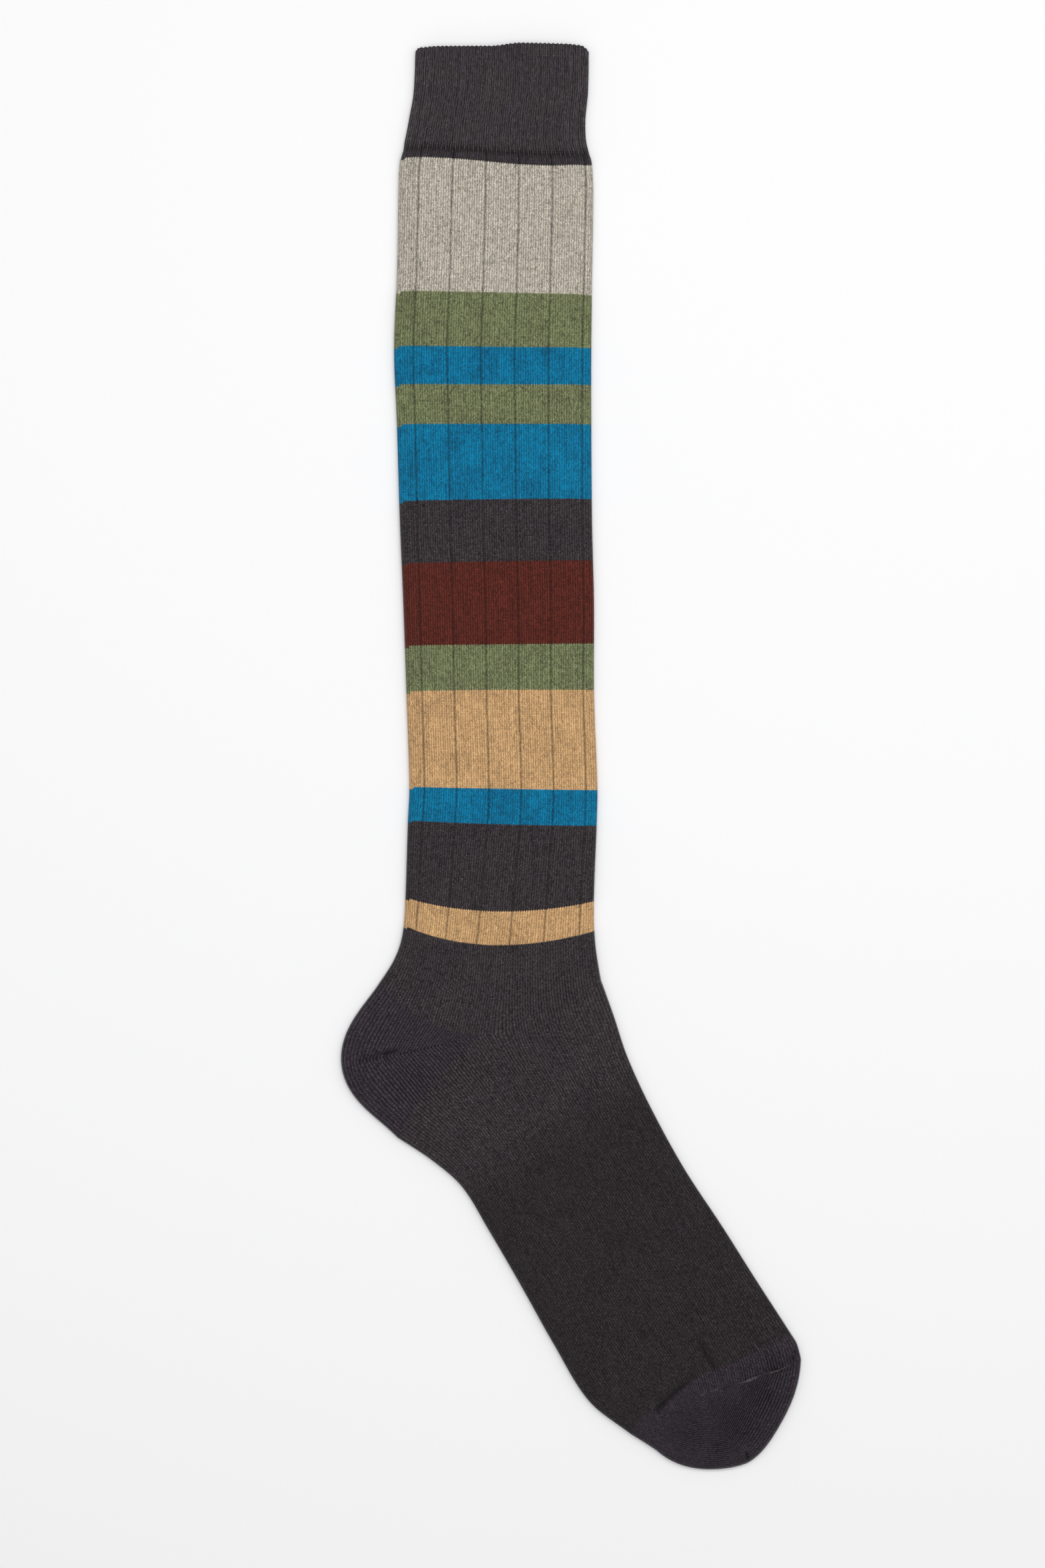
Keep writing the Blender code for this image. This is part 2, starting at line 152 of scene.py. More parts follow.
# The leg's pieces, mouth first. down: where the piece ends at the middle, as a share of
# LEG_LENGTH. left_drop, right_drop: how far that end hangs lower at each fold, and shift: how
# far its middle lies to the right, as shares of LEG_WIDTH.
Band = namedtuple("Band", "name yarn down left_drop right_drop shift")
CUFF_WAVE = 0.0008           # the cuff's lower edge rises on its left and sags on its right
MOUTH = Band("mouth", "", 0.0, 0.003, 0.014, 0.0)
LEG_PIECES = (
    Band("cuff", "charcoal_rib", 0.1175, -0.028, 0.008, 0.0),
    Band("grey_band", "grey_knit", 0.249, -0.010, 0.010, 0.0),
    Band("green_band_1", "green_knit", 0.304, -0.007, 0.003, 0.0),
    Band("blue_band_1", "blue_knit", 0.342, -0.003, 0.000, 0.0),
    Band("green_band_2", "green_knit", 0.382, 0.000, 0.000, 0.0),
    Band("blue_band_2", "blue_knit", 0.458, 0.009, -0.003, 0.0),
    Band("charcoal_band_1", "charcoal_knit", 0.521, 0.009, -0.007, 0.0),
    Band("maroon_band", "maroon_knit", 0.605, 0.006, -0.005, 0.0),
    Band("green_band_3", "green_knit", 0.651, 0.007, 0.000, 0.0),
    Band("tan_band_1", "tan_knit", 0.751, -0.010, 0.007, 0.0),
    Band("blue_band_3", "blue_knit", 0.787, -0.020, 0.007, 0.0),
    Band("charcoal_band_2", "charcoal_knit", 0.875, -0.070, -0.050, -0.022),
    Band("tan_band_2", "tan_knit", 0.909, -0.100, -0.070, -0.035),
    Band("ankle", "charcoal_knit", 1.000, -0.262, -0.276, -0.039),
)

# The foot's rows from the heel's corner. along: share of FOOT_LENGTH at the row's middle.
# middle: how far the middle lies towards the sole. sole, instep: the folds' distances from
# the line through the heel's corner. sole_lead, instep_lead: how far each fold is ahead of
# the middle. All but along are shares of FOOT_WIDTH.
FootRow = namedtuple("FootRow", "along middle sole instep sole_lead instep_lead")
FOOT_ROWS = (
    FootRow(0.000, 0.000, 0.626, 0.616, 0.176, 0.106),
    FootRow(0.095, 0.006, 0.551, 0.572, 0.136, 0.068),
    FootRow(0.187, 0.017, 0.506, 0.515, 0.099, 0.057),
    FootRow(0.304, 0.028, 0.520, 0.469, 0.057, 0.034),
    FootRow(0.445, 0.051, 0.547, 0.433, 0.034, 0.023),
    FootRow(0.585, 0.074, 0.580, 0.423, 0.023, 0.023),
    FootRow(0.712, 0.097, 0.598, 0.408, 0.034, 0.034),
    FootRow(0.806, 0.116, 0.526, 0.397, 0.048, 0.108),
    FootRow(0.826, 0.131, 0.492, 0.392, 0.080, 0.118),
    FootRow(0.843, 0.142, 0.465, 0.366, 0.107, 0.144),
)
TOE_STARTS = FOOT_ROWS[-3].along
TOE_GORE = FOOT_ROWS[-1].along

# Soft creases in the lying knit, in metres on the surface: where each starts and ends, how
# deep and how wide it is, and how dark the painted shade at its bottom is, from 0 to 1.
Crease = namedtuple("Crease", "x1 y1 x2 y2 depth width shade")
CREASES = (
    Crease(0.0545, -0.2505, 0.0585, -0.2580, 0.00090, 0.0016, 1.00),
    Crease(0.0585, -0.2580, 0.0605, -0.2615, 0.00050, 0.0024, 0.90),
    Crease(0.0530, -0.2640, 0.0370, -0.2790, 0.00060, 0.0026, 0.85),
    Crease(-0.0800, -0.1272, -0.0755, -0.1262, 0.00050, 0.0013, 0.82),
    Crease(-0.0900, -0.1294, -0.0800, -0.1272, 0.00040, 0.0020, 0.66),
    Crease(0.0962, -0.2545, 0.0950, -0.2575, 0.00060, 0.0014, 0.90),
    Crease(0.0750, -0.2985, 0.0760, -0.3020, 0.00070, 0.0010, 1.00),
    # These two run beside the toe's seam: shallow dents with a painted shadow line
    Crease(0.0630, -0.2707, 0.0740, -0.2669, 0.00035, 0.0008, 1.00),
    Crease(0.0790, -0.2652, 0.0880, -0.2622, 0.00035, 0.0008, 0.95),
)

# Where the knit is stretched across, the grooves between its wales open, with shade painted in
# them: the middle of each soft spot, its reach in metres and how dark that shade gets, 0 to 1.
Stretch = namedtuple("Stretch", "x y reach shade")
STRETCHES = (
    Stretch(-0.066, -0.140, 0.026, 0.90),
    Stretch(-0.048, -0.134, 0.018, 0.85),
    Stretch(-0.082, -0.121, 0.009, 0.70),
    Stretch(-0.020, -0.104, 0.014, 0.70),
    Stretch(-0.002, -0.100, 0.014, 0.75),
    Stretch(0.012, -0.098, 0.011, 0.65),
    Stretch(-0.020, -0.135, 0.025, 0.62),
    Stretch(0.012, -0.150, 0.025, 0.62),
    Stretch(0.060, -0.245, 0.018, 0.75),
    Stretch(0.081, -0.273, 0.017, 0.95),
    Stretch(0.070, -0.284, 0.018, 0.95),
    Stretch(0.088, -0.262, 0.012, 0.85),
    Stretch(0.050, -0.288, 0.017, 0.82),
    Stretch(0.064, -0.296, 0.012, 0.85),
    Stretch(0.034, -0.272, 0.014, 0.78),
)


def make_camera():
    """Straight above the lying sock, with a frame of the photograph's shape."""
    frame_height = 0.672
    lens = 100.0
    sensor = 36.0
    data = bpy.data.cameras.new("camera")
    data.lens = lens
    data.sensor_width = sensor
    camera = bpy.data.objects.new("camera", data)
    camera.location = (-0.0210, -0.0120, CROWN_HEIGHT / 2 + frame_height * lens / sensor)
    bpy.context.scene.collection.objects.link(camera)
    bpy.context.scene.camera = camera


def smooth_step(share):
    """0 to 1, level at both ends."""
    share = np.clip(share, 0.0, 1.0)
    return share * share * (3 - 2 * share)


def slope(table, number, column):
    """Slope of a table's column at one of its rows, against the first column."""
    before = table[max(number - 1, 0)]
    after = table[min(number + 1, len(table) - 1)]
    return (getattr(after, column) - getattr(before, column)) / (after[0] - before[0])


def smooth_value(table, place, column):
    """A column's value at a place in the first column, on a smooth curve through the rows."""
    number = 0
    while number < len(table) - 2 and table[number + 1][0] < place:
        number += 1
    start = table[number]
    end = table[number + 1]
    run = end[0] - start[0]
    t = (place - start[0]) / run
    value = (1 + 2 * t) * (1 - t) ** 2 * getattr(start, column)
    value += t * t * (3 - 2 * t) * getattr(end, column)
    value += t * (1 - t) ** 2 * run * slope(table, number, column)
    return value - t * t * (1 - t) * run * slope(table, number + 1, column)


def leg_row(upper, lower, share):
    """The row at a share of the way from one piece's end to the next one's."""
    def mixed(column):
        return getattr(upper, column) * (1 - share) + getattr(lower, column) * share

    depth = mixed("down") * LEG_LENGTH
    left_depth = depth + mixed("left_drop") * LEG_WIDTH
    right_depth = depth + mixed("right_drop") * LEG_WIDTH
    left_reach = smooth_value(LEG_OUTLINE, left_depth / LEG_LENGTH, "left") * LEG_WIDTH
    right_reach = smooth_value(LEG_OUTLINE, right_depth / LEG_LENGTH, "right") * LEG_WIDTH
    middle_x = (right_reach - left_reach) / 2 + mixed("shift") * LEG_WIDTH
    left = np.array((-left_reach, -left_depth))
    return Row(left, np.array((middle_x, -depth)), np.array((right_reach, -right_depth)))


def near_ankle(along):
    """1 at the foot's first row, fading to 0 at its third."""
    return 1 - smooth_step(along / FOOT_ROWS[2].along)


def foot_row(along, ankle_end):
    """The foot's row at a share of the foot's length, with its fold points in plan."""
    corner = ankle_end.middle
    middle_shift, sole, instep, sole_lead, instep_lead = [
        smooth_value(FOOT_ROWS, along, column) * FOOT_WIDTH for column in FootRow._fields[1:]]
    ahead = along * FOOT_LENGTH
    middle = corner + FORWARD * ahead - TOWARDS_INSTEP * middle_shift
    left = corner + FORWARD * (ahead + sole_lead) - TOWARDS_INSTEP * sole
    right = corner + FORWARD * (ahead + instep_lead) + TOWARDS_INSTEP * instep
    first_instep = corner + FORWARD * FOOT_ROWS[0].instep_lead * FOOT_WIDTH
    first_instep = first_instep + TOWARDS_INSTEP * FOOT_ROWS[0].instep * FOOT_WIDTH
    right = right + (ankle_end.right - first_instep) * near_ankle(along)
    return Row(left, middle, right)


def across(row, t):
    """Plan points on the row's curve, left fold at 0, middle at one half, right fold at 1."""
    t = t[:, None]
    return row.left * (1 - t) * (1 - 2 * t) + row.middle * 4 * t * (1 - t) + row.right * t * (2 * t - 1)


def left_half(row):
    """The row's half from its left fold, 0, to its middle, 1."""
    return lambda t: across(row, t / 2)


def right_half(row):
    """The row's half from its right fold, 0, to its middle, 1."""
    return lambda t: across(row, 1 - t / 2)


def foot_halves(along, ankle_end):
    """The halves of a foot row; on the instep the first row follows the ankle's end, and the
    last ones bow with the seam."""
    row = foot_row(along, ankle_end)
    own = right_half(row)
    wanted = right_half(ankle_end)
    unfitted = right_half(foot_row(0.0, ankle_end))
    bow = SEAM_BOW * smooth_step((along - BOW_STARTS) / (TOE_GORE - BOW_STARTS))

    def instep_half(t):
        bowed = FORWARD * bow * np.sin(math.pi * t)[:, None]
        return own(t) + (wanted(t) - unfitted(t)) * near_ankle(along) + bowed
    return left_half(row), instep_half


def fan_half(first, last, swell, turn):
    """Half a row of a pocket, from its edge at 0 to the corner at 1, at a share of the turn."""
    first_edge, corner = first(np.array((0.0, 1.0)))
    last_edge = last(np.array((0.0,)))[0]
    from_corner = first_edge - corner
    to_corner = last_edge - corner
    start = math.atan2(from_corner[1], from_corner[0])
    sweep = (math.atan2(to_corner[1], to_corner[0]) - start) % (2 * math.pi)
    first_reach = math.hypot(*from_corner)
    reach = (first_reach + (math.hypot(*to_corner) - first_reach) * turn) * swell(turn)
    angle = start + sweep * turn
    edge = corner + np.array((math.cos(angle), math.sin(angle))) * reach

    def half(t):
        share = t[:, None]
        bow_first = (first(t) - first_edge * (1 - share) - corner * share) * (1 - turn) ** 2
        bow_last = (last(t) - last_edge * (1 - share) - corner * share) * turn ** 2
        return edge * (1 - share) + corner * share + bow_first + bow_last
    return half


def knit_points(half, share, over, sink):
    """Points on a wall from a fold, 0, to the middle, 1, sunk below the outside of the knit."""
    start, end = half(np.array((0.0, 1.0)))
    length = np.linalg.norm(end - start)
    radius = FOLD_HEIGHT / 2
    quarter_turn = math.pi * radius / 2
    along = share * (quarter_turn + length - radius)
    turn = np.minimum(along / radius, math.pi / 2)
    reach = radius * (1 - np.cos(turn)) + np.maximum(along - quarter_turn, 0.0)
    crown = FOLD_HEIGHT + (CROWN_HEIGHT - FOLD_HEIGHT) * smooth_step(reach / CROWN_RUN)
    plan = half((reach + sink * np.cos(turn)) / length)
    above = radius + (crown - radius - sink) * np.sin(turn)
    below = radius - (radius - sink) * np.sin(turn)
    return np.column_stack((plan, np.where(over, above, below)))


def ring_points(halves, places, sink):
    """Points once round a tube, at places in wales from its left fold."""
    place = places % ROUND
    on_left = (place < HALF_SIDE) | (place > 3 * HALF_SIDE)
    from_left_fold = np.minimum(place, ROUND - place)
    from_fold = np.where(on_left, from_left_fold, np.abs(place - ROUND / 2)) / HALF_SIDE
    points = np.empty((len(place), 3))
    for half, chosen in zip(halves, (on_left, ~on_left)):
        points[chosen] = knit_points(half, from_fold[chosen], place[chosen] <= ROUND / 2, sink[chosen])
    return points


def steps(length, step):
    """Shares from 0 to 1, about a step apart along a length."""
    return np.linspace(0.0, 1.0, max(round(length / step), 2) + 1)


def from_crest(wales):
    """Distance from the nearest wale's crest, 0 to 0.5 wales."""
    return np.abs(wales - np.round(wales))


def on_rib_line(wales):
    """1 on a sunk rib line, falling to 0 half a wale beside it."""
    from_line = np.abs(wales - np.round(wales / RIB_LINE_WALES) * RIB_LINE_WALES)
    return np.clip(1 - 2 * from_line, 0.0, 1.0)


def yarn_change(wales, places):
    """How far down the end of a yarn lies, for its wales' tips and for the end of its round."""
    past = ((places - JOG_PLACE) % ROUND) / ROUND
    return TOOTH * (4 * from_crest(wales) - 1), JOG * np.maximum(2 * past - 1, 0.0)


def slid(rings, offsets):
    """Rings moved along the tube, down by positive offsets."""
    rings = np.array(rings)
    down = np.gradient(rings, axis=0)
    down /= np.linalg.norm(down, axis=2, keepdims=True)
    return rings + down * offsets[:, :, None]


def plain_wales():
    """The columns of a tube's mesh, in wales from its first rib line."""
    return np.arange(0, ROUND + WALE_STEP, WALE_STEP)


def closed_wall(outer, inner):
    """One sheet of a piece's outside and then its inside, joined over both of its ends."""
    return Sheet(*(np.concatenate((near, far, near[:1])) for near, far in zip(outer, inner)))


def tube_layer(shares, halves_at, twist_at, sink_at, shade_at, course_at, slide_at):
    """One layer of a tube's wall: a ring for each share of its length."""
    wales = plain_wales()
    places = [wales + twist_at(share) for share in shares]
    rings = np.array([ring_points(halves_at(share), place, sink_at(share, place))
                      for share, place in zip(shares, places)])
    courses = np.array([np.full(len(wales), course_at(share)) for share in shares])
    offsets = np.array([slide_at(share, place) for share, place in zip(shares, places)])
    shade = np.array([shade_at(share, place) for share, place in zip(shares, places)])
    wales = np.tile(wales, (len(shares), 1))
    return Sheet(slid(rings, offsets), wales, courses + offsets / COURSE, shade)


def tube_layers(length, halves_at, twist_at, sink_at, shade_at, course_at, slide_at):
    """A tube's outside, and its plain inside in the other direction."""
    def inside_at(share, places):
        return np.full(len(places), WALL)

    def unshaded(share, places):
        return np.zeros(len(places))

    outer = tube_layer(steps(length, LINE_STEP), halves_at, twist_at, sink_at, shade_at,
                       course_at, slide_at)
    inner = tube_layer(steps(length, INNER_STEP)[::-1], halves_at, twist_at, inside_at, unshaded,
                       course_at, slide_at)
    return outer, inner


def leg_twist(down):
    """Wales from the left fold to the first rib line: the leg's wales drift a little."""
    below_cuff = (down - LEG_PIECES[0].down) / (1 - LEG_PIECES[0].down)
    return RIB_LINE_TOP + (RIB_LINE_FOOT - RIB_LINE_TOP) * below_cuff


def foot_twist(share):
    """The same on the foot and the toe's tube, at any share: their wales don't drift."""
    return RIB_LINE_FOOT


def plain_sink(wales, rib_share):
    """Depth of plain knit's surface: its valleys, and its rib lines by a share of their depth."""
    line = on_rib_line(wales) * rib_share
    return WALE_DEPTH * 2 * from_crest(wales) * (1 - line) + RIB_LINE_DEPTH * line


def make_leg_sheet(upper, lower):
    """One of the leg's bands, or the ankle, from the end of the piece above it."""
    wales = plain_wales()
    length = (lower.down - upper.down) * LEG_LENGTH
    last = lower.name == "ankle"

    def halves_at(share):
        row = leg_row(upper, lower, share)
        return left_half(row), right_half(row)

    def twist_at(share):
        return leg_twist(upper.down + (lower.down - upper.down) * share)

    def slide_at(share, places):
        tooth, helix = yarn_change(wales, places)
        whole = 1 - smooth_step(share) if last else 1.0
        at_end = share == 0 or (share == 1 and not last)
        below_cuff = (1 - share) ** 2 if upper.name == "cuff" else 0.0
        return helix * whole + tooth * at_end - cuff_wave(places) * below_cuff

    def course_at(share):
        return (upper.down * LEG_LENGTH + share * length) / COURSE

    def rib_share(share):
        return 0.65 - 0.45 * smooth_step(share) if last else 1.0

    def sink_at(share, places):
        return plain_sink(wales, rib_share(share))

    def shade_at(share, places):
        # Painted shade in the sunk rib lines
        return on_rib_line(wales) * rib_share(share)

    layers = tube_layers(length, halves_at, twist_at, sink_at, shade_at, course_at, slide_at)
    return closed_wall(*layers)


def cuff_wave(places):
    """How far up the cuff's lower edge lies beyond its plain curve, at places round the tube."""
    over = np.minimum(places % ROUND, ROUND - places % ROUND) / (ROUND / 2)
    return CUFF_WAVE * np.sin(2 * math.pi * over)


def make_cuff_sheet():
    """The doubled rib with its rolled mouth, and the plain edge that it draws in to."""
    lower = LEG_PIECES[0]
    length = lower.down * LEG_LENGTH
    ribs = np.arange(0, CUFF_RIBS + CUFF_RIB_STEP, CUFF_RIB_STEP)
    places = 2 * ribs
    plain_crests = places - RIB_LINE_TOP
    between_ribs = 0.5 - 0.5 * np.cos(2 * math.pi * ribs)
    # A groove lies on both sides of a purl column, and the column itself lies lower than a rib
    groove = 0.35 * between_ribs + 0.65 * (0.5 - 0.5 * np.cos(4 * math.pi * ribs))
    roll = CUFF_WALL / 2
    courses_long = round((length - roll) / CUFF_COURSE)

    def course_at(along):
        return (along - roll) / (length - roll) * courses_long

    def halves_at(along):
        row = leg_row(MOUTH, lower, along / length)
        return left_half(row), right_half(row)

    def plainness(along):
        return smooth_step((along - (length - CUFF_PLAIN - CUFF_GATHER)) / CUFF_GATHER)

    def gathered(along):
        return math.exp(-((along - (length - CUFF_PLAIN - CUFF_GATHER / 2)) / (CUFF_GATHER / 2)) ** 2)

    def pits(along):
        return groove * (0.5 - 0.5 * math.cos(2 * math.pi * course_at(along)))

    def outer_sink(along):
        ribbed = CUFF_RIB_DEPTH * groove + CUFF_PIT_DEPTH * pits(along)
        flat = plain_sink(plain_crests, 1.0)
        plain = plainness(along)
        drawn_in = GATHER_DEPTH * gathered(along) * (0.6 + 0.4 * groove)
        return ribbed * (1 - plain) + flat * plain + drawn_in

    def shade_at(along):
        """Painted shade, darkest in the grooves and pits by an amount that differs from rib to rib,
        and in the gather; the plain edge is darker all over.
        """
        rib = np.floor(ribs + 0.5)
        uneven = 0.75 + 0.25 * np.sin(rib * 2.7) * np.sin(rib * 0.37)
        ribbed = (0.85 * groove + 0.35 * pits(along)) * uneven * (1 - plainness(along))
        drawn_in = gathered(along) * (0.30 * groove + 0.45 * pits(along))
        return ribbed + drawn_in + (0.60 + 0.30 * on_rib_line(plain_crests)) * plainness(along)

    def edge_lift(along, points):
        """The mouth's edge stands higher over its right half and on each rib, and its corners
        are rounded."""
        across_mouth = (points[:, 0] - points[:, 0].min()) / np.ptp(points[:, 0])
        rise = (MOUTH_RISE + 0.0005 * across_mouth) * smooth_step((across_mouth - 0.43) / 0.18)
        corner = np.maximum(1 - across_mouth / 0.022, 0.0) ** 2
        corner = corner * 0.8 + np.maximum((across_mouth - 0.955) / 0.045, 0.0) ** 2 * 1.6
        bump = CUFF_SCALLOP * (1 - between_ribs)
        lift = rise * math.exp(-along / 0.012) + bump * math.exp(-along / 0.0015)
        return lift - CUFF_CORNER * corner * math.exp(-along / 0.003)

    def wander(along):
        """Ribs don't run dead straight: how far each lies aside, in wales."""
        whole = 1 - plainness(along)
        rib = np.floor(ribs + 0.5)
        aside = 0.16 * np.sin(along * 480 + rib * 2.1) + 0.12 * np.sin(along * 1150 + rib * 3.7)
        return whole * aside

    def ring(along, sink, forward=0.0):
        points = ring_points(halves_at(along), places + wander(along) * (1 - between_ribs), sink)
        points[:, 1] += forward + edge_lift(along, points)
        tooth, helix = yarn_change(plain_crests, places)
        at_end = along == length
        points[:, 1] -= helix * plainness(along) + tooth * at_end
        points[:, 1] += cuff_wave(places) * (along / length) ** 3
        return points

    outer_along = np.linspace(roll, length, 2 * courses_long + 1)
    inner_along = [along for along in outer_along[::-8] if along > roll]
    inside = CUFF_WALL - 0.4 * CUFF_RIB_DEPTH * groove
    rims = np.linspace(math.pi, 0.0, 6)
    alongs = list(outer_along) + inner_along + [roll] * len(rims)
    rings = [ring(along, outer_sink(along)) for along in outer_along]
    rings += [ring(along, inside) for along in inner_along]
    first_sink = outer_sink(roll)
    for angle in rims:
        sink = first_sink + (inside - first_sink) * (0.5 - 0.5 * math.cos(angle))
        rings.append(ring(roll, sink, roll * math.sin(angle)))
    shade = [shade_at(along) for along in outer_along]
    # The inside and the mouth's roll get painted shade in their grooves too
    shade += [0.5 * groove] * (len(alongs) - len(outer_along))
    courses = course_at(np.array(alongs))[:, None] * np.ones(len(places))
    wales = np.tile(places, (len(alongs), 1))
    return Sheet(np.array(rings), wales, courses, np.clip(shade, 0.0, 1.0))


def make_foot_sheet(ankle_end):
    """Plain sole; the instep keeps the leg's rib lines, which fade towards the toe."""
    wales = plain_wales()
    length = TOE_STARTS * FOOT_LENGTH

    def rib_share(share, places):
        place = places % ROUND
        fade = 0.2 + 0.4 * smooth_step(4 * share) - 0.6 * smooth_step((share - 0.3) / 0.6)
        return ((place > HALF_SIDE) & (place < 3 * HALF_SIDE)) * fade

    def sink_at(share, places):
        return plain_sink(wales, rib_share(share, places))

    def slide_at(share, places):
        return yarn_change(wales, places)[0] * (share == 1)

    def halves_at(share):
        return foot_halves(TOE_STARTS * share, ankle_end)

    def course_at(share):
        return (LEG_LENGTH + share * length) / COURSE

    def shade_at(share, places):
        # Painted shade in the rib lines; the foot's darker tone grows from the heel to its middle
        lines = on_rib_line(wales) * rib_share(share, places)
        return np.maximum(lines, FOOT_SHADE * smooth_step(share * 2.6))

    layers = tube_layers(length, halves_at, foot_twist, sink_at, shade_at, course_at, slide_at)
    return closed_wall(*layers)


def edge_and_corner(half):
    """The two ends of half a row in plan, and the distance between them."""
    edge, corner = half(np.array((0.0, 1.0)))
    return edge, corner, np.linalg.norm(edge - corner)


def mitre_share(halves_at, turn, share, mitred):
    """Where a pocket's wales cross one of its rows, as shares from its edge to its corner. Beside
    the edge they follow its round; further in they run straight and meet on the gore line."""
    near = halves_at(0.0 if turn <= 0.5 else 1.0)
    edge, corner, radius = edge_and_corner(halves_at(turn))
    near_edge, _, near_radius = edge_and_corner(near)
    gore_edge, _, gore_radius = edge_and_corner(halves_at(0.5))

    def angle_between(first, second):
        one, other = first - corner, second - corner
        return abs(math.atan2(one[0] * other[1] - one[1] * other[0], one @ other))

    whole = angle_between(near_edge, gore_edge)
    passed = angle_between(near_edge, edge)
    chord = near_radius * gore_radius * math.sin(whole)
    chord /= near_radius * math.sin(passed) + gore_radius * math.sin(whole - passed)
    straight = smooth_step(share / 0.35) * mitred
    return 1 - (1 - share) * (1 + (chord / radius - 1) * straight)


def pocket_turns(edge_length):
    """Shares of a pocket's turn, closer together at its gore line."""
    fine_step = LINE_STEP / 3
    beside_gore = [0.5 + offset * fine_step / edge_length for offset in (-2, -1, 0, 1, 2)]
    spread = [turn for turn in steps(edge_length, LINE_STEP)
              if abs(turn - 0.5) * edge_length > LINE_STEP]
    return sorted(spread + beside_gore)


def pocket_layer(turns, halves_at, edge_length, mitres, depths):
    """One layer of a pocket: lines of points from its corner underneath, round its edge, to its
    corner on top. mitres and depths hold, for before and after the gore line, how straight the
    wales run and how deep their valleys are."""
    wales = np.arange(-HALF_SIDE, HALF_SIDE + WALE_STEP, WALE_STEP)
    share = np.abs(wales) / HALF_SIDE
    valley_here = 2 * from_crest(wales)
    points = []
    courses = []
    shade = []
    for turn in turns:
        half = halves_at(turn)
        after = smooth_step((turn - 0.45) * 10)
        mitred = mitres[turn > 0.5] if turn != 0.5 else max(mitres)
        placed = mitre_share(halves_at, turn, share, mitred)
        reach = edge_and_corner(half)[2] * (1 - placed)
        from_gore = abs(turn - 0.5) * edge_length * (1 - share)
        eyelet = np.exp(-(from_gore / GORE_WIDTH) ** 2) * (0.25 + 0.75 * valley_here)
        eyelet = eyelet * np.clip(reach / 0.0015, 0.0, 1.0) * smooth_step(share * 8 - 0.6)
        valley = (depths[0] + (depths[1] - depths[0]) * after) * np.clip(reach / 0.001, 0.0, 1.0)
        sink = valley * valley_here + GORE_DEPTH * eyelet
        points.append(knit_points(half, placed, wales >= 0, sink))
        courses.append(edge_length * (1 - share) * min(turn, 1 - turn) / COURSE)
        # The eyelets are painted with shade as well as sunk
        shade.append(eyelet)
    return Sheet(np.array(points), np.tile(wales, (len(turns), 1)), np.array(courses), np.array(shade))


def pocket_inside(turns, halves_at, edge_length):
    """The plain inside of a pocket's wall."""
    wales = np.arange(-HALF_SIDE, HALF_SIDE + WALE_STEP, WALE_STEP)
    share = np.abs(wales) / HALF_SIDE
    sink = np.full(len(wales), WALL)
    points = np.array([knit_points(halves_at(turn), share, wales >= 0, sink) for turn in turns])
    courses = np.array([edge_length * (1 - share) * min(turn, 1 - turn) / COURSE for turn in turns])
    return Sheet(points, np.tile(wales, (len(turns), 1)), courses, np.zeros(courses.shape))


def make_heel_sheet(ankle_end):
    """The heel's pocket turns round the corner from the ankle to the foot."""
    first = left_half(ankle_end)
    last = left_half(foot_row(0.0, ankle_end))

    def heel_swell(turn):
        return 1 + HEEL_BULGE * math.sin(math.pi * turn) ** 2

    def halves_at(turn):
        return fan_half(first, last, heel_swell, turn)

    outer = pocket_layer(pocket_turns(HEEL_EDGE), halves_at, HEEL_EDGE,
                         (1.0, 1.0), (WALE_DEPTH, REINFORCED_DEPTH))
    inner = pocket_inside(steps(HEEL_EDGE, INNER_STEP)[::-1], halves_at, HEEL_EDGE)
    return closed_wall(outer, inner)


def toe_ridge(wales, places, from_seam):
    """The knit rises to the closing seam across the instep half."""
    place = places % ROUND
    instep = smooth_step((place - HALF_SIDE) / 4) * smooth_step((3 * HALF_SIDE - place) / 4)
    return RIDGE_HEIGHT * instep * math.exp(-(from_seam / RIDGE_WIDTH) ** 2)


def make_toe_sheets(ankle_end):
    """A short tube, then a pocket that turns over the toes and closes on the instep's seam."""
    wales = plain_wales()
    length = (TOE_GORE - TOE_STARTS) * FOOT_LENGTH
    sole, instep = foot_halves(TOE_GORE, ankle_end)

    def tube_halves(share):
        return foot_halves(TOE_STARTS + (TOE_GORE - TOE_STARTS) * share, ankle_end)

    def tube_sink(share, places):
        plain = WALE_DEPTH * 2 * from_crest(wales)
        return plain * (1 - (share == 1)) - toe_ridge(wales, places, (1 - share) * length) * (share < 1)

    def slide_at(share, places):
        return yarn_change(wales, places)[0] * (share == 0)

    def course_at(share):
        return (LEG_LENGTH + TOE_STARTS * FOOT_LENGTH + share * length) / COURSE

    def toe_swell(turn):
        """The toe is flatter than a plain turn of its rows, and most on its instep side, but has
        a blunt point."""
        instep_side = max(math.sin(2 * math.pi * (turn - 0.5)), 0.0) if turn > 0.5 else 0.0
        point = TOE_POINT * math.exp(-((turn - POINT_TURN) / POINT_SPREAD) ** 2)
        return 1 - TOE_PINCH * math.sin(math.pi * turn) - INSTEP_PINCH * instep_side + point

    def pocket_halves(turn):
        return fan_half(sole, instep, toe_swell, turn)

    def tube_shade(share, places):
        return np.full(len(wales), TOE_SHADE)

    outer, inner = tube_layers(length, tube_halves, foot_twist, tube_sink, tube_shade,
                               course_at, slide_at)
    tube = Sheet(*(np.concatenate((far, near)) for far, near in zip(inner, outer)))
    turns = pocket_turns(TOE_EDGE)
    pocket = pocket_layer(turns, pocket_halves, TOE_EDGE, (0.3, 1.0), (WALE_DEPTH, REINFORCED_DEPTH))
    pocket = pocket._replace(shade=np.maximum(pocket.shade, TOE_SHADE))
    for number in (0, -1):
        place = np.abs(pocket.wales[number]) / HALF_SIDE
        zero = np.zeros(len(place))
        pocket.points[number] = knit_points(pocket_halves(turns[number]), place,
                                            pocket.wales[number] >= 0, zero)
    lining = pocket_inside(steps(TOE_EDGE, INNER_STEP), pocket_halves, TOE_EDGE)
    return [tube, pocket, lining]


